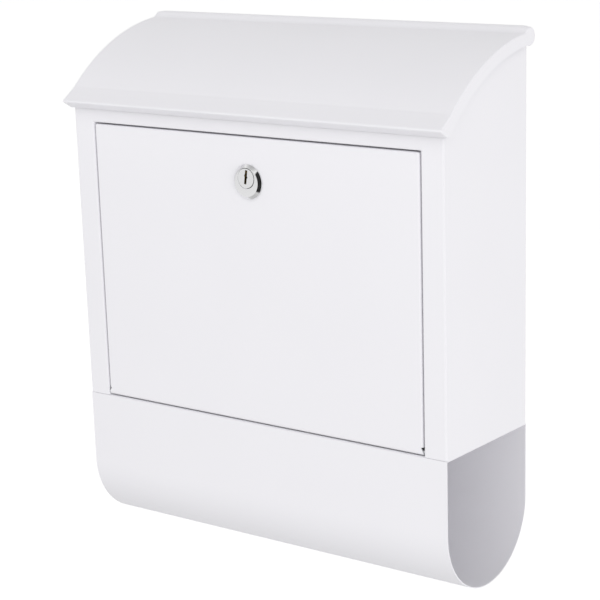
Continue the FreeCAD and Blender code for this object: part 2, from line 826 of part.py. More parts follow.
def wafer_levels():
    """Front and rear face of each wafer along the plug."""
    first = lock_face + size("plug_face_depth") + size("wafer_first")
    return [(first + size("wafer_pitch") * step,
             first + size("wafer_pitch") * step + size("wafer_thickness"))
            for step in range(WAFER_COUNT)]


def build_lock_wafers():
    """Flat wafers in the plug, each with the window that the key passes through."""
    body = new_body("lock_wafers")
    wide = size("wafer_width") / 2
    tall = size("wafer_height") / 2
    window = size("keyway_width") / 2 + size("wafer_window_gap")
    for start, end in wafer_levels():
        sketch = new_sketch(body, "XZ", start)
        add_box(sketch, -wide, wide, plug_z - tall, plug_z + tall)
        add_box(sketch, -window, window, plug_z - size("wafer_window_drop"),
                plug_z + size("wafer_window_rise"))
        extrude(body, "Pad", sketch, "XZ", start, end)


def build_lock_fixings():
    """Washer and hexagon nut that clamp the lock in the door."""
    washer_rear = front_inside + size("lock_washer_thickness")
    bore = size("lock_barrel_radius") + size("bore_gap")
    build_ring("lock_washer", "XZ", front_inside, washer_rear, lock_centre,
               size("lock_washer_radius"), bore)
    nut = new_body("lock_nut")
    corner = size("nut_across_flats") / math.sqrt(3)
    points = [(corner * round(math.cos(math.radians(60 * step)), 6),
               lock_z + corner * round(math.sin(math.radians(60 * step)), 6))
              for step in range(6)]
    pad(nut, "XZ", washer_rear, washer_rear + size("nut_thickness"), add_outline, points)
    pocket(nut, "XZ", washer_rear - OVERCUT, washer_rear + size("nut_thickness") + OVERCUT,
           add_circle, lock_centre, bore)


def build_cam():
    """Latch cam on the plug's square, with its washer and screw. At rest it lies sideways."""
    cam = new_body("lock_cam")
    wide = size("cam_width") / 2
    reach = size("cam_reach")
    shoulder = reach - size("cam_tip_length")
    tip = size("cam_tip")
    outline = [(shoulder, plug_z - size("cam_shoulder")), (reach, plug_z - tip),
               (reach, plug_z + tip), (shoulder, plug_z + size("cam_shoulder")),
               (0, plug_z + wide), Arc((0, plug_z - wide), plug_centre)]
    pad(cam, "XZ", cam_front, cam_rear, add_outline, outline)
    square_half = size("cam_square") / 2 + size("running_gap")
    pocket(cam, "XZ", cam_front - OVERCUT, cam_rear + OVERCUT, add_box, -square_half,
           square_half, plug_z - square_half, plug_z + square_half)
    washer_rear = cam_rear + size("cam_washer_thickness")
    build_ring("cam_washer", "XZ", cam_rear, washer_rear, plug_centre,
               size("cam_washer_radius"), size("cam_screw_radius") + size("bore_gap"))
    screw = new_body("cam_screw")
    head_rear = washer_rear + size("cam_screw_head_height")
    pad(screw, "XZ", washer_rear, head_rear, add_circle, plug_centre,
        size("cam_screw_head_radius"))
    pad(screw, "XZ", washer_rear, screw_end, add_circle, plug_centre, size("cam_screw_radius"))
    slot = size("cam_screw_slot") / 2
    pocket(screw, "XZ", head_rear, head_rear - size("cam_screw_slot_depth"), add_box,
           -size("cam_screw_head_radius"), size("cam_screw_head_radius"), plug_z - slot,
           plug_z + slot)


def build_all():
    """Every sub-part of the mailbox."""
    build_body_wrap()
    build_back_panel()
    for name, side in SIDES.items():
        build_back_rivets(name, side)
    build_floor_panel()
    build_newspaper_tube()
    build_lid_panel()
    for name, side in SIDES.items():
        build_pivot(name, side)
    build_door_panel()
    build_door_hinge()
    build_lock_housing()
    build_lock_plug()
    build_lock_wafers()
    build_lock_fixings()
    build_cam()


def check_and_export():
    """Refuse any failed object or bad shape, then write one file for each node."""
    doc.recompute()
    for item in doc.Objects:
        if {"Invalid", "Error"} & set(item.State):
            raise RuntimeError(item.Label + " failed: " + str(item.State))
    nodes = [item for item in doc.Objects if item.TypeId == "PartDesign::Body"]
    for node in nodes:
        if node.Shape.isNull() or not node.Shape.isValid():
            raise RuntimeError(node.Label + " has no valid shape")
    os.makedirs("parts", exist_ok=True)
    for node in nodes:
        node.Shape.exportStep("parts/%s.step" % node.Label)
        print(node.Label, len(node.Shape.Solids), round(node.Shape.Volume, 1))


build_all()
check_and_export()
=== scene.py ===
import bpy
import bmesh
import math
from mathutils import Matrix, Vector


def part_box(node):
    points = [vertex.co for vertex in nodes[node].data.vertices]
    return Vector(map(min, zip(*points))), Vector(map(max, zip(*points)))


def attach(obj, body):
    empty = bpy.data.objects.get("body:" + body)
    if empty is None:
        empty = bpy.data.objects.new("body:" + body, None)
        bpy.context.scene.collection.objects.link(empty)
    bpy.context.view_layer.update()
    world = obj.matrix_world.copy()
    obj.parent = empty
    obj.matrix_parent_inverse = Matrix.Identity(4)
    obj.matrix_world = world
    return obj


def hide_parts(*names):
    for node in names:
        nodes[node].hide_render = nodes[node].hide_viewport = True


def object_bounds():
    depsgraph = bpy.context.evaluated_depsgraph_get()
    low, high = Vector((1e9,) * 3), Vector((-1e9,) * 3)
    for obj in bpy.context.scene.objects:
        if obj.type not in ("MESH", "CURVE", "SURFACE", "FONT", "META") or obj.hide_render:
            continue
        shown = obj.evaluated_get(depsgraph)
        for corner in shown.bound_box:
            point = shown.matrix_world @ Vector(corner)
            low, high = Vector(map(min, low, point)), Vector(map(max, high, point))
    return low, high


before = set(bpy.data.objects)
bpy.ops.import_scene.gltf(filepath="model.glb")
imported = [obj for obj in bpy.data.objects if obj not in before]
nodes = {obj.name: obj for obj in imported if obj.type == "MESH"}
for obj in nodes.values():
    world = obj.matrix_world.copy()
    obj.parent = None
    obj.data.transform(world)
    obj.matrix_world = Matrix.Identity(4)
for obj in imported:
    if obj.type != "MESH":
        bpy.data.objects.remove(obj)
cad_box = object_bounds()

# ---------------------------------------------------------------------------------------
# The studio: a camera a little above and to the right of the mailbox, a white surround
# with a dark card beside it for the chrome, three softboxes, and a pale floor.
# ---------------------------------------------------------------------------------------
VIEW_AZIMUTH = math.radians(36.37)
VIEW_ELEVATION = math.radians(15.63)
VIEW_ROLL = math.radians(-1.40)
VIEW_DISTANCE = 1.614
AIM_POINT = Vector((0.0, -0.007, -0.1331))

towards_camera = Vector((
    math.sin(VIEW_AZIMUTH) * math.cos(VIEW_ELEVATION),
    -math.cos(VIEW_AZIMUTH) * math.cos(VIEW_ELEVATION),
    math.sin(VIEW_ELEVATION),
))
level_right = (-towards_camera).cross(Vector((0, 0, 1))).normalized()
level_up = level_right.cross(-towards_camera)
camera_right = level_right * math.cos(VIEW_ROLL) + level_up * math.sin(VIEW_ROLL)
camera_up = level_up * math.cos(VIEW_ROLL) - level_right * math.sin(VIEW_ROLL)

camera_data = bpy.data.cameras.new("studio_camera")
camera_data.sensor_width = 36.0
camera_data.lens = 113.2
camera_data.shift_x = -0.0695
camera_data.shift_y = 0.1177
camera = bpy.data.objects.new("studio_camera", camera_data)
axes = Matrix((camera_right, camera_up, towards_camera)).transposed()
camera.matrix_world = Matrix.Translation(AIM_POINT + towards_camera * VIEW_DISTANCE) @ axes.to_4x4()
bpy.context.scene.collection.objects.link(camera)
bpy.context.scene.camera = camera
bpy.context.scene.view_settings.view_transform = "Standard"


def linear_colour(hex_text):
    """An sRGB hex colour as linear red, green, blue and alpha."""
    channels = [int(hex_text[start:start + 2], 16) / 255 for start in (1, 3, 5)]
    return tuple(c / 12.92 if c <= 0.04045 else ((c + 0.055) / 1.055) ** 2.4
                 for c in channels) + (1.0,)


def add_node(tree, kind, settings=None, **links):
    """Add one node: its settings by attribute, and its inputs as values or linked sockets."""
    node = tree.nodes.new(kind)
    for name, value in (settings or {}).items():
        setattr(node, name, value)
    for name, value in links.items():
        socket = node.inputs[int(name[1:])] if name[1:].isdigit() else node.inputs[
            name.replace("_", " ")]
        if isinstance(value, bpy.types.NodeSocket):
            tree.links.new(value, socket)
        else:
            socket.default_value = value
    return node


surround = bpy.data.worlds.new("white_surround")
surround.use_nodes = True
surround.node_tree.nodes.clear()
sky = surround.node_tree
direction = add_node(sky, "ShaderNodeTexCoord")
parts_of_direction = add_node(sky, "ShaderNodeSeparateXYZ", Vector=direction.outputs["Generated"])
# The surround's strength by height, from straight down at 0 to straight up at 1.
HEIGHT_STRENGTHS = ((0.0, 0.52), (0.30, 0.98), (0.45, 0.74), (0.70, 0.80), (0.86, 0.90), (1.0, 0.15))
height = add_node(sky, "ShaderNodeMapRange", Value=parts_of_direction.outputs["Z"],
                  From_Min=-1.0, From_Max=1.0)
bands = add_node(sky, "ShaderNodeValToRGB", Fac=height.outputs["Result"])
for place, strength in HEIGHT_STRENGTHS[1:-1]:
    bands.color_ramp.elements.new(place)
for stop, (place, strength) in zip(bands.color_ramp.elements, HEIGHT_STRENGTHS):
    stop.position = place
    stop.color = (strength, strength, strength, 1.0)

CARD_SIDE = math.radians(46)
CARD_EDGE, CARD_FULL = 0.950, 0.965      # cosines of the angles from the card's middle
CARD_FOOT, CARD_HEAD = (-0.86, -0.78), (0.74, 0.68)
CARD_DARKNESS = 0.03
DIM_SIDE, DIM_STRENGTH = (-0.68, -0.86), 0.55
level = add_node(sky, "ShaderNodeVectorMath", {"operation": "MULTIPLY"},
                 _0=direction.outputs["Generated"], _1=(1.0, 1.0, 0.0))
compass = add_node(sky, "ShaderNodeVectorMath", {"operation": "NORMALIZE"},
                   _0=level.outputs["Vector"])
facing_card = add_node(sky, "ShaderNodeVectorMath", {"operation": "DOT_PRODUCT"},
                       _0=compass.outputs["Vector"],
                       _1=(math.sin(CARD_SIDE), -math.cos(CARD_SIDE), 0.0))
across_card = add_node(sky, "ShaderNodeMapRange", Value=facing_card.outputs["Value"],
                       From_Min=CARD_EDGE, From_Max=CARD_FULL)
above_foot = add_node(sky, "ShaderNodeMapRange", Value=parts_of_direction.outputs["Z"],
                      From_Min=CARD_FOOT[0], From_Max=CARD_FOOT[1])
below_head = add_node(sky, "ShaderNodeMapRange", Value=parts_of_direction.outputs["Z"],
                      From_Min=CARD_HEAD[0], From_Max=CARD_HEAD[1])
upright = add_node(sky, "ShaderNodeMath", {"operation": "MULTIPLY"},
                   _0=above_foot.outputs["Result"], _1=below_head.outputs["Result"])
card = add_node(sky, "ShaderNodeMath", {"operation": "MULTIPLY"},
                _0=across_card.outputs["Result"], _1=upright.outputs["Value"])
left_side = add_node(sky, "ShaderNodeMapRange", Value=parts_of_direction.outputs["X"],
                     From_Min=DIM_SIDE[0], From_Max=DIM_SIDE[1], To_Min=1.0,
                     To_Max=DIM_STRENGTH)
ray = add_node(sky, "ShaderNodeLightPath")
seen_card = add_node(sky, "ShaderNodeMath", {"operation": "MULTIPLY"},
                     _0=card.outputs["Value"], _1=ray.outputs["Is Glossy Ray"])
card_shade = add_node(sky, "ShaderNodeMapRange", Value=seen_card.outputs["Value"],
                      To_Min=1.0, To_Max=CARD_DARKNESS)
seen_left = add_node(sky, "ShaderNodeMix", {"data_type": "FLOAT"},
                     _0=ray.outputs["Is Glossy Ray"], _2=1.0, _3=left_side.outputs["Result"])
shades = add_node(sky, "ShaderNodeMath", {"operation": "MULTIPLY"},
                  _0=card_shade.outputs["Result"], _1=seen_left.outputs[0])
strength_here = add_node(sky, "ShaderNodeVectorMath", {"operation": "SCALE"},
                         _0=bands.outputs["Color"], Scale=shades.outputs["Value"])
soft_light = add_node(sky, "ShaderNodeBackground", Color=strength_here.outputs["Vector"],
                      Strength=1.0)
white_wall = add_node(sky, "ShaderNodeBackground", Color=linear_colour("#FFFFFF"), Strength=1.0)
both = add_node(sky, "ShaderNodeMixShader", _0=ray.outputs["Is Camera Ray"],
                _1=soft_light.outputs["Background"], _2=white_wall.outputs["Background"])
add_node(sky, "ShaderNodeOutputWorld", Surface=both.outputs["Shader"])
bpy.context.scene.world = surround


def add_softbox(name, place, aim, size, power):
    """A square soft light that looks at a point, and that the chrome does not mirror."""
    data = bpy.data.lights.new(name, "AREA")
    data.size = size
    data.energy = power
    light = bpy.data.objects.new(name, data)
    light.location = place
    light.rotation_euler = (Vector(aim) - Vector(place)).to_track_quat("-Z", "Y").to_euler()
    light.visible_camera = False
    light.visible_glossy = False
    bpy.context.scene.collection.objects.link(light)


add_softbox("front_softbox", (-1.5, -1.8, 0.6), (0, -0.1, 0), 1.6, 1.0)
add_softbox("top_softbox", (-0.4, -1.6, 1.9), (0, -0.1, 0.1), 1.6, 10.0)
add_softbox("side_softbox", (2.2, -1.2, 0.0), (0.1, -0.1, 0), 1.4, 13.0)

FLOOR_DROP = 0.30
FLOOR_REACH = 12.0
floor_level = cad_box[0][2] - FLOOR_DROP
floor_data = bpy.data.meshes.new("studio_floor")
floor_data.from_pydata([(x, y, floor_level) for x, y in (
    (-FLOOR_REACH, -FLOOR_REACH), (FLOOR_REACH, -FLOOR_REACH),
    (FLOOR_REACH, FLOOR_REACH), (-FLOOR_REACH, FLOOR_REACH))], [], [(0, 1, 2, 3)])
studio_floor = bpy.data.objects.new("studio_floor", floor_data)
studio_floor.visible_diffuse = False
studio_floor.visible_glossy = False
studio_floor.visible_shadow = False
bpy.context.scene.collection.objects.link(studio_floor)

floor_paint = bpy.data.materials.new("matt_white_floor_paint")
floor_paint.use_nodes = True
floor_tree = floor_paint.node_tree
floor_shader = floor_tree.nodes["Principled BSDF"]
floor_shader.inputs["Roughness"].default_value = 0.9
floor_shader.inputs["Emission Color"].default_value = linear_colour("#FFFFFF")
floor_shader.inputs["Emission Strength"].default_value = 0.35
mottle = add_node(floor_tree, "ShaderNodeTexNoise", Scale=3.0)
floor_tint = add_node(floor_tree, "ShaderNodeMix", {"data_type": "RGBA"},
                      Factor=mottle.outputs["Fac"], _6=linear_colour("#FAFAFA"),
                      _7=linear_colour("#FEFEFE"))
floor_tree.links.new(floor_tint.outputs[2], floor_shader.inputs["Base Color"])
floor_data.materials.append(floor_paint)

# ---------------------------------------------------------------------------------------
# The box: side walls, front frame with the doorway's folded jambs, and rear flanges, all
# folded from one 1 mm steel sheet. It is powder coated after folding, so every bend and
# every cut edge is softly rounded by the paint.
# ---------------------------------------------------------------------------------------
MM = 0.001
SHEET = 1.0 * MM
BEND_RADIUS = 1.6 * MM
BEND_STEPS = 4
FOLD_ANGLE = math.radians(30)
CREASE_ANGLE = math.radians(50)
PAINTED_RIM = 0.22 * MM


def new_finish(name):
    """A new material, its node tree and its shader."""
    finish = bpy.data.materials.new(name)
    finish.use_nodes = True
    return finish, finish.node_tree, finish.node_tree.nodes["Principled BSDF"]


# Satin powder coat: the eye sees an even cool white with a soft sheen and a faint orange
# peel, left as the powder flows in the oven. Its waves are drawn near their real 2 mm.
PEEL_WAVE = 2.2 * MM
PEEL_DEPTH = 0.02 * MM
CLOUD_WAVE = 110 * MM

powder_coat, coat_tree, coat_shader = new_finish("satin_powder_coat_on_steel")
coat_place = add_node(coat_tree, "ShaderNodeTexCoord")
peel = add_node(coat_tree, "ShaderNodeTexNoise", Vector=coat_place.outputs["Object"],
                Scale=1 / PEEL_WAVE, Detail=2.0)
peel_bump = add_node(coat_tree, "ShaderNodeBump", Height=peel.outputs["Fac"], Strength=0.35,
                     Distance=PEEL_DEPTH)
cloud = add_node(coat_tree, "ShaderNodeTexNoise", Vector=coat_place.outputs["Object"],
                 Scale=1 / CLOUD_WAVE, Detail=3.0)
coat_tint = add_node(coat_tree, "ShaderNodeMix", {"data_type": "RGBA"},
                     Factor=cloud.outputs["Fac"], _6=linear_colour("#F0EFF3"),
                     _7=linear_colour("#F3F2F6"))
coat_tree.links.new(coat_tint.outputs[2], coat_shader.inputs["Base Color"])
coat_tree.links.new(peel_bump.outputs["Normal"], coat_shader.inputs["Normal"])
coat_shader.inputs["Roughness"].default_value = 0.42
coat_shader.inputs["IOR"].default_value = 1.5


def fold_sheet(panels, radius):
    """Join flat panels at their shared edges and round every fold, as a press brake does."""
    mesh = bmesh.new()
    corners = {}
    for panel in panels:
        loop = []
        for point in panel:
            key = tuple(round(value, 7) for value in point)
            if key not in corners:
                corners[key] = mesh.verts.new(point)
            loop.append(corners[key])
        mesh.faces.new(loop)
    mesh.normal_update()
    folds = [edge for edge in mesh.edges
             if len(edge.link_faces) == 2 and edge.calc_face_angle() > FOLD_ANGLE]
    bmesh.ops.bevel(mesh, geom=folds, offset=radius, offset_type="OFFSET", segments=BEND_STEPS,
                    profile=0.5, affect="EDGES", clamp_overlap=False)
    return mesh


def finish_piece(name, mesh, finish, body, replaced, thickness=0.0, rim=PAINTED_RIM):
    """Turn a mesh into a piece of the object: its gauge, its softened rims and its finish."""
    data = bpy.data.meshes.new(name)
    mesh.to_mesh(data)
    mesh.free()
    for face in data.polygons:
        face.use_smooth = True
    data.set_sharp_from_angle(angle=CREASE_ANGLE)
    data.materials.append(finish)
    piece = bpy.data.objects.new(name, data)
    bpy.context.scene.collection.objects.link(piece)
    if thickness:
        gauge = piece.modifiers.new("sheet_gauge", "SOLIDIFY")
        gauge.thickness = thickness
        gauge.offset = -1.0
        gauge.use_even_offset = True
    if rim:
        edge = piece.modifiers.new("painted_rim", "BEVEL")
        edge.width = rim
        edge.segments = 2
        edge.limit_method = "ANGLE"
        edge.angle_limit = CREASE_ANGLE
    shade = piece.modifiers.new("flat_panels_stay_flat", "WEIGHTED_NORMAL")
    shade.keep_sharp = True
    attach(piece, body)
    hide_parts(*replaced)
    return piece


def arc_points(centre, radius, first, last, steps):
    """Points of an arc in the Y-Z plane, from one angle to another, in degrees."""
    turns = [math.radians(first + (last - first) * step / steps) for step in range(steps + 1)]
    return [(centre[0] + radius * math.cos(turn), centre[1] + radius * math.sin(turn))
            for turn in turns]


box_low, box_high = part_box("body_wrap")
HALF = box_high.x
FRONT = box_low.y
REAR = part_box("newspaper_tube")[1].y
SEAM = box_low.z
HEADER_TOP = SEAM + 252 * MM
DOORWAY_HALF = 162 * MM
DOORWAY_TOP = SEAM + 234.5 * MM
JAMB_REAR = FRONT + 16 * MM
STOP_LIP = 6 * MM
REAR_FLANGE = 12 * MM
LOBE_RADIUS = 6 * MM
LOBE_END, LOBE_STEPS = 172, 24
HINGE = (REAR - 1.6 * MM, SEAM + 307.2 * MM)
BEAD_RADIUS = 8 * MM
BACK_DROP = 1 * MM
FLANGE_TOP = HINGE[1] - BEAD_RADIUS - BACK_DROP

# The lid's crown: an arc about a line behind the box, which the side walls follow.
CROWN_CENTRE = (REAR + 10.2 * MM, SEAM + 134.76 * MM)
CROWN_FRONT = (FRONT + 4 * MM, SEAM + 261.5 * MM)
CROWN_RADIUS = math.dist(CROWN_CENTRE, CROWN_FRONT)
LID_GAP = 1.2 * MM
WALL_DROP = SHEET + LID_GAP
CROWN_STEPS = 56


def crown_angle(y, radius):
    """Angle, in degrees, at which an arc about the crown's centre reaches this depth."""
    return math.degrees(math.acos((y - CROWN_CENTRE[0]) / radius))


wall_radius = CROWN_RADIUS - WALL_DROP
neck_angle = -math.degrees(math.acos((REAR - HINGE[0]) / LOBE_RADIUS))
wall_edge = [(REAR, SEAM), (REAR, FLANGE_TOP)]
wall_edge += arc_points(HINGE, LOBE_RADIUS, neck_angle, LOBE_END, LOBE_STEPS)
wall_edge += arc_points(CROWN_CENTRE, wall_radius, crown_angle(HINGE[0] - LOBE_RADIUS, wall_radius),
                        crown_angle(FRONT + SHEET, wall_radius), CROWN_STEPS)
wall_edge += [(FRONT + SHEET, HEADER_TOP), (FRONT, HEADER_TOP), (FRONT, SEAM)]

box_panels = [[
    (-HALF, FRONT, SEAM), (-DOORWAY_HALF, FRONT, SEAM), (-DOORWAY_HALF, FRONT, DOORWAY_TOP),
    (DOORWAY_HALF, FRONT, DOORWAY_TOP), (DOORWAY_HALF, FRONT, SEAM), (HALF, FRONT, SEAM),
    (HALF, FRONT, HEADER_TOP), (-HALF, FRONT, HEADER_TOP),
], [
    (-DOORWAY_HALF, FRONT, DOORWAY_TOP), (-DOORWAY_HALF, JAMB_REAR - SHEET, DOORWAY_TOP),
    (DOORWAY_HALF, JAMB_REAR - SHEET, DOORWAY_TOP), (DOORWAY_HALF, FRONT, DOORWAY_TOP),
]]
for side in (-1, 1):
    jamb, lip, wall = DOORWAY_HALF * side, (DOORWAY_HALF - STOP_LIP) * side, HALF * side
    stop = JAMB_REAR - SHEET
    around_wall = [(wall, y, z) for y, z in wall_edge]
    around_jamb = [(jamb, FRONT, SEAM), (jamb, FRONT, DOORWAY_TOP), (jamb, stop, DOORWAY_TOP),
                   (jamb, stop, SEAM)]
    around_stop = [(jamb, stop, SEAM), (jamb, stop, DOORWAY_TOP), (lip, stop, DOORWAY_TOP),
                   (lip, stop, SEAM)]
    flange = wall - REAR_FLANGE * side
    around_flange = [(wall, REAR, FLANGE_TOP), (wall, REAR, SEAM), (flange, REAR, SEAM),
                     (flange, REAR, FLANGE_TOP)]
    for loop in (around_wall, around_jamb, around_stop, around_flange):
        box_panels.append(loop if side > 0 else loop[::-1])
finish_piece("folded_box", fold_sheet(box_panels, BEND_RADIUS), powder_coat, "box",
             ["body_wrap"], thickness=SHEET)

# ---------------------------------------------------------------------------------------
# The back and the floor: pressed and folded sheets of the same steel, coated with the box.
# The back is riveted to the box's flanges, and its four bosses touch the wall.
# ---------------------------------------------------------------------------------------


def give_finish(names, finish):
    """Put one finish on the named CAD nodes."""
    for name in names:
        for position in range(len(nodes[name].material_slots)):
            nodes[name].material_slots[position].material = finish


give_finish(["back_panel", "floor_panel"], powder_coat)

# ---------------------------------------------------------------------------------------
# The blind rivets: plain aluminium with a steel mandrel, pulled from behind. Drawn wire,
# upset cold, gives a dull silver with faint streaks.
# ---------------------------------------------------------------------------------------
rivet_metal, rivet_tree, rivet_shader = new_finish("drawn_aluminium_rivet")
rivet_shader.inputs["Metallic"].default_value = 1.0
rivet_place = add_node(rivet_tree, "ShaderNodeTexCoord")
RIVET_GRAIN = 0.8 * MM
rivet_grain = add_node(rivet_tree, "ShaderNodeTexNoise", Vector=rivet_place.outputs["Object"],
                       Scale=1 / RIVET_GRAIN, Detail=3.0)
rivet_tint = add_node(rivet_tree, "ShaderNodeMix", {"data_type": "RGBA"},
                      Factor=rivet_grain.outputs["Fac"], _6=linear_colour("#C9CBCD"),
                      _7=linear_colour("#DFE0E1"))
rivet_rough = add_node(rivet_tree, "ShaderNodeMapRange", Value=rivet_grain.outputs["Fac"],
                       To_Min=0.32, To_Max=0.48)
rivet_tree.links.new(rivet_tint.outputs[2], rivet_shader.inputs["Base Color"])
rivet_tree.links.new(rivet_rough.outputs["Result"], rivet_shader.inputs["Roughness"])
give_finish(["back_rivets_left", "back_rivets_right"], rivet_metal)

# ---------------------------------------------------------------------------------------
# The newspaper tube: one sheet rolled to a U, open at both ends, welded under the box and
# coated with it.
# ---------------------------------------------------------------------------------------
tube_low, tube_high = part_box("newspaper_tube")
TUBE_RADIUS = (tube_high.y - tube_low.y) / 2
TUBE_STEPS = 60
tube_centre = ((tube_high.y + tube_low.y) / 2, tube_low.z + TUBE_RADIUS)
tube_line = [(tube_high.y, tube_high.z)]
tube_line += arc_points(tube_centre, TUBE_RADIUS, 0, -180, TUBE_STEPS)
tube_line += [(tube_low.y, tube_high.z)]
tube_panels = [[(HALF, *first), (HALF, *last), (-HALF, *last), (-HALF, *first)]
               for first, last in zip(tube_line, tube_line[1:])]
tube_mesh = fold_sheet(tube_panels, BEND_RADIUS)
finish_piece("newspaper_tube_sheet", tube_mesh, powder_coat, "box",
             ["newspaper_tube"], thickness=SHEET)

# ---------------------------------------------------------------------------------------
# The lid: one sheet with a rolled rear bead, a curved crown and a flared lip folded back
# under itself. Its ends are drawn down into cheeks with round ears for the pivots.
# ---------------------------------------------------------------------------------------
LID_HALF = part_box("lid_panel")[1].x
CHEEK_BEND = 1.2 * MM
CHEEK_DEPTH = 10 * MM
CHEEK_FRONT, CHEEK_NECK = 3 * MM, 4 * MM
BEAD_END = HALF - SHEET - 1.5 * MM
BEAD_STOP, CAP_STOP, EAR_START = -65, 38, -118
CAP_STEPS, EAR_STEPS, VALLEY_STEPS, LIP_STEPS = 16, 8, 8, 8
EAR_RADIUS = 7.2 * MM
VALLEY_RADIUS = 8 * MM
LIP_RADIUS = 1.4 * MM
LIP_CENTRE = (FRONT - 8.4 * MM, SEAM + 251.6 * MM)
LIP_TOP, LIP_LOW = 123.5, 238.8
LIP_END = (FRONT - 1.2 * MM, SEAM + 245.6 * MM)


def valley_centre(roll_radius):
    """Centre of the small hollow between the crown and the bead, outside both of them."""
    far, near = CROWN_RADIUS + VALLEY_RADIUS, roll_radius + VALLEY_RADIUS
    crown, bead = Vector(CROWN_CENTRE), Vector(HINGE)
    span = (bead - crown).length
    along = (far ** 2 - near ** 2 + span ** 2) / (2 * span)
    aside = math.sqrt(far ** 2 - along ** 2)
    ahead = (bead - crown) / span
    return crown + ahead * along + Vector((-ahead.y, ahead.x)) * aside


def angle_from(centre, point):
    """Direction from one point to another in the Y-Z plane, in degrees."""
    return math.degrees(math.atan2(point[1] - centre[1], point[0] - centre[0]))


def with_outward(centre, points, sign=1.0):
    """Pair each point of an arc with the direction out of the sheet's face."""
    return [(Vector(point), (Vector(point) - Vector(centre)).normalized() * sign)
            for point in points]


def lid_line(roll_radius):
    """The lid's face from the roll's free edge over the top and the crown to the folded lip."""
    valley = valley_centre(roll_radius)
    valley_arc = arc_points(valley, VALLEY_RADIUS, angle_from(valley, HINGE),
                            angle_from(valley, CROWN_CENTRE), VALLEY_STEPS)
    crown_arc = arc_points(CROWN_CENTRE, CROWN_RADIUS, angle_from(CROWN_CENTRE, valley),
                           angle_from(CROWN_CENTRE, CROWN_FRONT), CROWN_STEPS)
    line = with_outward(HINGE, arc_points(HINGE, roll_radius, BEAD_STOP, CAP_STOP, CAP_STEPS))[:-1]
    line += with_outward(HINGE, arc_points(HINGE, roll_radius, CAP_STOP,
                                           angle_from(HINGE, valley), CAP_STEPS))[:-1]
    line += with_outward(valley, valley_arc, sign=-1.0)[:-1]
    line += with_outward(CROWN_CENTRE, crown_arc)
    line += with_outward(LIP_CENTRE, arc_points(LIP_CENTRE, LIP_RADIUS, LIP_TOP, LIP_LOW,
                                                LIP_STEPS))
    line.append((Vector(LIP_END), line[-1][1]))
    return line


lid_mesh = bmesh.new()
ear_line = with_outward(HINGE, arc_points(HINGE, EAR_RADIUS, EAR_START, BEAD_STOP, EAR_STEPS))[:-1]
cheek_radius = CROWN_RADIUS - CHEEK_DEPTH
cheek_low = arc_points(CROWN_CENTRE, cheek_radius, crown_angle(FRONT + CHEEK_FRONT, cheek_radius),
                       crown_angle(HINGE[0] - CHEEK_NECK, cheek_radius), CROWN_STEPS)


def add_row(line, across, inset=0.0, run_in=0):
    """One row of mesh points across the lid, set inside its face, more slowly over a run-in."""
    row = []
    for position, (point, outward) in enumerate(line):
        share = min(1.0, position / run_in) if run_in else 1.0
        row.append(lid_mesh.verts.new((across, *(point - outward * inset * share))))
    return row


def join_rows(rows, side):
    """Fill the strips between neighbouring rows."""
    for row, beside in zip(rows, rows[1:]):
        for position in range(len(row) - 1):
            loop = [row[position], beside[position], beside[position + 1], row[position + 1]]
            lid_mesh.faces.new(loop if side < 0 else loop[::-1])


bend_turns = [math.radians(90 * step / BEND_STEPS) for step in range(BEND_STEPS + 1)]
inner_rows = {side: add_row(lid_line(BEAD_RADIUS), BEAD_END * side) for side in (-1, 1)}
join_rows([inner_rows[-1], inner_rows[1]], 1)
for side in (-1, 1):
    end_line = ear_line + lid_line(EAR_RADIUS)
    rows = [add_row(end_line, (LID_HALF - CHEEK_BEND + CHEEK_BEND * math.sin(turn)) * side,
                    CHEEK_BEND * (1 - math.cos(turn)), EAR_STEPS // 2) for turn in bend_turns]
    join_rows(rows, side)
    join_rows([inner_rows[side][CAP_STEPS:], rows[0][EAR_STEPS + CAP_STEPS:]], side)
    low_edge = [lid_mesh.verts.new((LID_HALF * side, *point)) for point in cheek_low]
    cheek = rows[-1] + low_edge
    lid_mesh.faces.new(cheek if side > 0 else cheek[::-1])
lid_mesh.normal_update()
finish_piece("lid_sheet", lid_mesh, powder_coat, "lid", ["lid_panel"],
             thickness=SHEET, rim=0.0)

# ---------------------------------------------------------------------------------------
# The lid's pins and clips and the door's hinge rod: bright zinc-plated steel. Zinc over
# drawn steel gives a slightly blue silver with a fine crystal grain.
# ---------------------------------------------------------------------------------------
ZINC_GRAIN = 1.1 * MM
zinc, zinc_tree, zinc_shader = new_finish("bright_zinc_plate_on_steel")
zinc_shader.inputs["Metallic"].default_value = 1.0
zinc_place = add_node(zinc_tree, "ShaderNodeTexCoord")
zinc_grain = add_node(zinc_tree, "ShaderNodeTexNoise", Vector=zinc_place.outputs["Object"],
                      Scale=1 / ZINC_GRAIN, Detail=4.0)
zinc_tint = add_node(zinc_tree, "ShaderNodeMix", {"data_type": "RGBA"},
                     Factor=zinc_grain.outputs["Fac"], _6=linear_colour("#B9BCC0"),
                     _7=linear_colour("#D2D3D2"))
zinc_rough = add_node(zinc_tree, "ShaderNodeMapRange", Value=zinc_grain.outputs["Fac"],
                      To_Min=0.25, To_Max=0.42)
zinc_tree.links.new(zinc_tint.outputs[2], zinc_shader.inputs["Base Color"])
zinc_tree.links.new(zinc_rough.outputs["Result"], zinc_shader.inputs["Roughness"])
give_finish(["door_hinge_rod", "hinge_rod_clip_left", "hinge_rod_clip_right",
             "lid_pivot_pin_left", "lid_pivot_pin_right", "lid_pivot_clip_left",
             "lid_pivot_clip_right"], zinc)

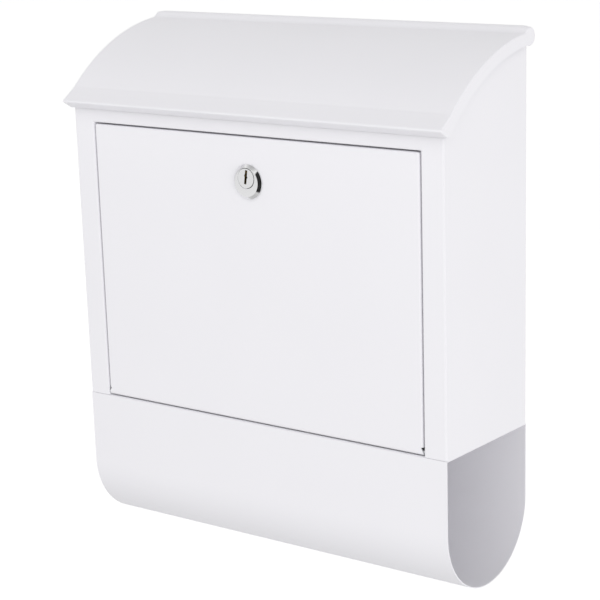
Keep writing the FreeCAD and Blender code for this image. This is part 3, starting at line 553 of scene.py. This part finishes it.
# ---------------------------------------------------------------------------------------
# The spacers on the lid's pins: natural nylon, moulded. It looks milky and lets a little
# light in.
# ---------------------------------------------------------------------------------------
NYLON_CLOUD = 3 * MM
nylon, nylon_tree, nylon_shader = new_finish("moulded_natural_nylon")
nylon_shader.inputs["Roughness"].default_value = 0.5
nylon_shader.inputs["IOR"].default_value = 1.53
nylon_shader.inputs["Subsurface Weight"].default_value = 0.25
nylon_shader.inputs["Subsurface Scale"].default_value = 1.5 * MM
nylon_place = add_node(nylon_tree, "ShaderNodeTexCoord")
nylon_cloud = add_node(nylon_tree, "ShaderNodeTexNoise", Vector=nylon_place.outputs["Object"],
                       Scale=1 / NYLON_CLOUD, Detail=2.0)
nylon_tint = add_node(nylon_tree, "ShaderNodeMix", {"data_type": "RGBA"},
                      Factor=nylon_cloud.outputs["Fac"], _6=linear_colour("#E2DFD6"),
                      _7=linear_colour("#EDEAE2"))
nylon_tree.links.new(nylon_tint.outputs[2], nylon_shader.inputs["Base Color"])
give_finish(["lid_pivot_spacer_left", "lid_pivot_spacer_right"], nylon)

# ---------------------------------------------------------------------------------------
# The door: a pan of 1 mm steel with folded edges and return lips, and a foot curled round
# the hinge rod. It is punched for the lock and coated with the box.
# ---------------------------------------------------------------------------------------
door_low, door_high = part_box("door_panel")
DOOR_HALF = door_high.x
DOOR_TOP = door_high.z
DOOR_BACK = door_high.y
DOOR_LIP = 10 * MM
BARREL_RADIUS = 2.55 * MM
BARREL_STEPS = 20
ROD = (FRONT + BARREL_RADIUS, door_low.z + BARREL_RADIUS)
FOOT_GAP = 1 * MM
DOOR_FOOT = ROD[1] + BARREL_RADIUS + FOOT_GAP
CURL_NOTCH = 1.8 * MM       # relief cut at each end of the curl, so that the edge can fold
CURL_START, CURL_END = 180, 390
LOCK_HOLE = 10.1 * MM
LOCK_CENTRE = SEAM + 198.3 * MM
HOLE_STEPS = 12

door_corners = [(DOOR_HALF, DOOR_FOOT), (DOOR_HALF, DOOR_TOP), (-DOOR_HALF, DOOR_TOP),
                (-DOOR_HALF, DOOR_FOOT)]
curl_half = DOOR_HALF - CURL_NOTCH
door_panels = []
for quarter in range(4):
    first = -45 + 90 * quarter
    hole = arc_points((0, LOCK_CENTRE), LOCK_HOLE, first + 90, first, HOLE_STEPS)
    outside = [door_corners[quarter], door_corners[(quarter + 1) % 4]]
    if quarter == 3:
        outside[1:1] = [(-curl_half, DOOR_FOOT), (curl_half, DOOR_FOOT)]
    door_panels.append([(x, FRONT, z) for x, z in outside + hole])
for side in (-1, 1):
    edge, lip = DOOR_HALF * side, (DOOR_HALF - DOOR_LIP) * side
    lip_top = DOOR_TOP - DOOR_LIP
    around_edge = [(edge, FRONT, DOOR_FOOT), (edge, DOOR_BACK, DOOR_FOOT),
                   (edge, DOOR_BACK, DOOR_TOP), (edge, FRONT, DOOR_TOP)]
    around_lip = [(edge, DOOR_BACK, DOOR_FOOT), (lip, DOOR_BACK, DOOR_FOOT),
                  (lip, DOOR_BACK, lip_top), (edge, DOOR_BACK, DOOR_TOP)]
    for loop in (around_edge, around_lip):
        door_panels.append(loop if side > 0 else loop[::-1])
door_panels.append([(-DOOR_HALF, FRONT, DOOR_TOP), (DOOR_HALF, FRONT, DOOR_TOP),
                    (DOOR_HALF, DOOR_BACK, DOOR_TOP), (-DOOR_HALF, DOOR_BACK, DOOR_TOP)])
lip_half = DOOR_HALF - DOOR_LIP
door_panels.append([(-DOOR_HALF, DOOR_BACK, DOOR_TOP), (DOOR_HALF, DOOR_BACK, DOOR_TOP),
                    (lip_half, DOOR_BACK, DOOR_TOP - DOOR_LIP),
                    (-lip_half, DOOR_BACK, DOOR_TOP - DOOR_LIP)])
curl_line = [(curl_half, FRONT, DOOR_FOOT)]
curl_line += [(DOOR_HALF, *point) for point in arc_points(ROD, BARREL_RADIUS, CURL_START,
                                                          CURL_END, BARREL_STEPS)]
for first, last in zip(curl_line, curl_line[1:]):
    door_panels.append([(-last[0], *last[1:]), last, first, (-first[0], *first[1:])])
finish_piece("door_pan", fold_sheet(door_panels, BEND_RADIUS), powder_coat, "door",
             ["door_panel"], thickness=SHEET)

# ---------------------------------------------------------------------------------------
# The cam lock's housing: zinc die casting, turned, threaded and chrome plated. The bore
# for the plug sits high in the round face, and a groove runs round it.
# ---------------------------------------------------------------------------------------
LOCK_FACE = FRONT - 3 * MM
PLUG_CENTRE = LOCK_CENTRE + 3.1 * MM
FACE_BORE, BARREL_BORE = 7.8 * MM, 6.25 * MM
FACE_BORE_END = LOCK_FACE + 1.65 * MM
GROOVE_RADIUS, GROOVE_DEPTH = 8.4 * MM, 0.8 * MM
FACE_RADIUS, HEAD_RADIUS = 11.35 * MM, 14 * MM
HEAD_RIM = 0.6 * MM
# How far the plate rounds each edge, across the head and along its axis.
FACE_EDGE, RIM_EDGE = (0.25 * MM, 0.12 * MM), (0.15 * MM, 0.25 * MM)
BARREL_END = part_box("lock_housing")[1].y
BARREL_FLAT = 8.7 * MM
THREAD_PITCH = 1.5 * MM
THREAD_START = 1.2 * MM
THREAD_MARGIN = 2 * MM
THREAD_CREST = 10 * MM
THREAD_ROOT = 9.3 * MM
# One turn of the thread: how far it stands out, and where along the pitch.
THREAD_SHAPE = ((THREAD_ROOT, 0.1), (THREAD_CREST, 0.45), (THREAD_CREST, 0.6),
                (THREAD_ROOT, 0.95))
RING_STEPS = 72


def skin_loops(mesh, loops):
    """Close the skin from each loop of points to the next, and from the last to the first."""
    for inner, outer in zip(loops, loops[1:] + loops[:1]):
        for step in range(RING_STEPS):
            after = (step + 1) % RING_STEPS
            mesh.faces.new([inner[step], outer[step], outer[after], inner[after]])
    bmesh.ops.recalc_face_normals(mesh, faces=mesh.faces)
    return mesh


def turn_rings(rings):
    """Skin between rings, each of them a centre height, a radius, a depth and a half width."""
    mesh = bmesh.new()
    loops = []
    for centre, radius, depth, flat in rings:
        loop = []
        for step in range(RING_STEPS):
            turn = 2 * math.pi * step / RING_STEPS
            across = max(-flat, min(flat, radius * math.cos(turn)))
            loop.append(mesh.verts.new((across, depth, centre + radius * math.sin(turn))))
        loops.append(loop)
    return skin_loops(mesh, loops)


ROUND = 1.0      # a half width so large that the ring has no flats
head_rings = [
    (PLUG_CENTRE, FACE_BORE, FACE_BORE_END, ROUND),
    (PLUG_CENTRE, FACE_BORE, LOCK_FACE + GROOVE_DEPTH, ROUND),
    (PLUG_CENTRE, GROOVE_RADIUS, LOCK_FACE, ROUND),
    (LOCK_CENTRE, FACE_RADIUS, LOCK_FACE, ROUND),
    (LOCK_CENTRE, FACE_RADIUS + FACE_EDGE[0], LOCK_FACE + FACE_EDGE[1], ROUND),
    (LOCK_CENTRE, HEAD_RADIUS - RIM_EDGE[0], FRONT - HEAD_RIM - RIM_EDGE[1], ROUND),
    (LOCK_CENTRE, HEAD_RADIUS, FRONT - HEAD_RIM, ROUND),
    (LOCK_CENTRE, HEAD_RADIUS, FRONT, ROUND),
    (LOCK_CENTRE, THREAD_ROOT, FRONT, BARREL_FLAT),
]
thread_turns = int((BARREL_END - FRONT - THREAD_MARGIN) / THREAD_PITCH)
for turn in range(thread_turns):
    crest = FRONT + THREAD_START + THREAD_PITCH * turn
    for reach, run in THREAD_SHAPE:
        head_rings.append((LOCK_CENTRE, reach, crest + THREAD_PITCH * run, BARREL_FLAT))
head_rings += [(LOCK_CENTRE, THREAD_ROOT, BARREL_END, BARREL_FLAT),
               (PLUG_CENTRE, BARREL_BORE, BARREL_END, ROUND),
               (PLUG_CENTRE, BARREL_BORE, FACE_BORE_END, ROUND)]

# Polished chrome plate: a clear mirror of its surroundings, with only the faint haze that
# handling leaves.
HAZE_GRAIN = 1.7 * MM
chrome, chrome_tree, chrome_shader = new_finish("polished_chrome_plate")
chrome_shader.inputs["Metallic"].default_value = 1.0
chrome_shader.inputs["Base Color"].default_value = linear_colour("#F4F4F5")
chrome_place = add_node(chrome_tree, "ShaderNodeTexCoord")
haze = add_node(chrome_tree, "ShaderNodeTexNoise", Vector=chrome_place.outputs["Object"],
                Scale=1 / HAZE_GRAIN, Detail=3.0)
haze_range = add_node(chrome_tree, "ShaderNodeMapRange", Value=haze.outputs["Fac"],
                      To_Min=0.05, To_Max=0.11)
chrome_tree.links.new(haze_range.outputs["Result"], chrome_shader.inputs["Roughness"])
finish_piece("lock_head_and_barrel", turn_rings(head_rings), chrome, "door",
             ["lock_housing"], rim=0.0)

# ---------------------------------------------------------------------------------------
# The nut and washer behind the door: zinc-plated steel. The nut is a pressed hexagon with
# its corners chamfered on both faces.
# ---------------------------------------------------------------------------------------
nut_low, nut_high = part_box("lock_nut")
NUT_APOTHEM = 12 * MM
NUT_CORNER = 0.9 * MM
NUT_FACE = 12.1 * MM
UNCUT = 1.0      # a radius so large that it trims nothing
BORE = 0.0       # marks the loops round the hole


def hexagon_reach(turn):
    """How far the hexagon's side lies from its centre in this direction."""
    sector = (turn + math.pi / 6) % (math.pi / 3) - math.pi / 6
    return NUT_APOTHEM / math.cos(math.pi / 6 - abs(sector))


nut_mesh = bmesh.new()
nut_loops = []
for depth, cap in ((nut_low.y, BORE), (nut_low.y, NUT_FACE), (nut_low.y + NUT_CORNER, UNCUT),
                   (nut_high.y - NUT_CORNER, UNCUT), (nut_high.y, NUT_FACE), (nut_high.y, BORE)):
    loop = []
    for step in range(RING_STEPS):
        turn = 2 * math.pi * step / RING_STEPS
        reach = min(hexagon_reach(turn), cap) if cap else LOCK_HOLE
        loop.append(nut_mesh.verts.new((reach * math.cos(turn), depth,
                                        LOCK_CENTRE + reach * math.sin(turn))))
    nut_loops.append(loop)
finish_piece("lock_hexagon_nut", skin_loops(nut_mesh, nut_loops), zinc, "door",
             ["lock_nut"], rim=0.0)
give_finish(["lock_washer"], zinc)

# ---------------------------------------------------------------------------------------
# The plug turns in the housing. It is chrome plated like it, and its keyway shows the
# stamped brass wafers inside. The cam is screwed on its rear square.
# ---------------------------------------------------------------------------------------
give_finish(["lock_plug"], chrome)
give_finish(["lock_cam", "cam_washer", "cam_screw"], zinc)

BRASS_GRAIN = 0.7 * MM
brass, brass_tree, brass_shader = new_finish("stamped_brass")
brass_shader.inputs["Metallic"].default_value = 1.0
brass_place = add_node(brass_tree, "ShaderNodeTexCoord")
brass_grain = add_node(brass_tree, "ShaderNodeTexNoise", Vector=brass_place.outputs["Object"],
                       Scale=1 / BRASS_GRAIN, Detail=3.0)
brass_tint = add_node(brass_tree, "ShaderNodeMix", {"data_type": "RGBA"},
                      Factor=brass_grain.outputs["Fac"], _6=linear_colour("#7A6231"),
                      _7=linear_colour("#94793F"))
brass_rough = add_node(brass_tree, "ShaderNodeMapRange", Value=brass_grain.outputs["Fac"],
                       To_Min=0.3, To_Max=0.45)
brass_tree.links.new(brass_tint.outputs[2], brass_shader.inputs["Base Color"])
brass_tree.links.new(brass_rough.outputs["Result"], brass_shader.inputs["Roughness"])
give_finish(["lock_wafers"], brass)
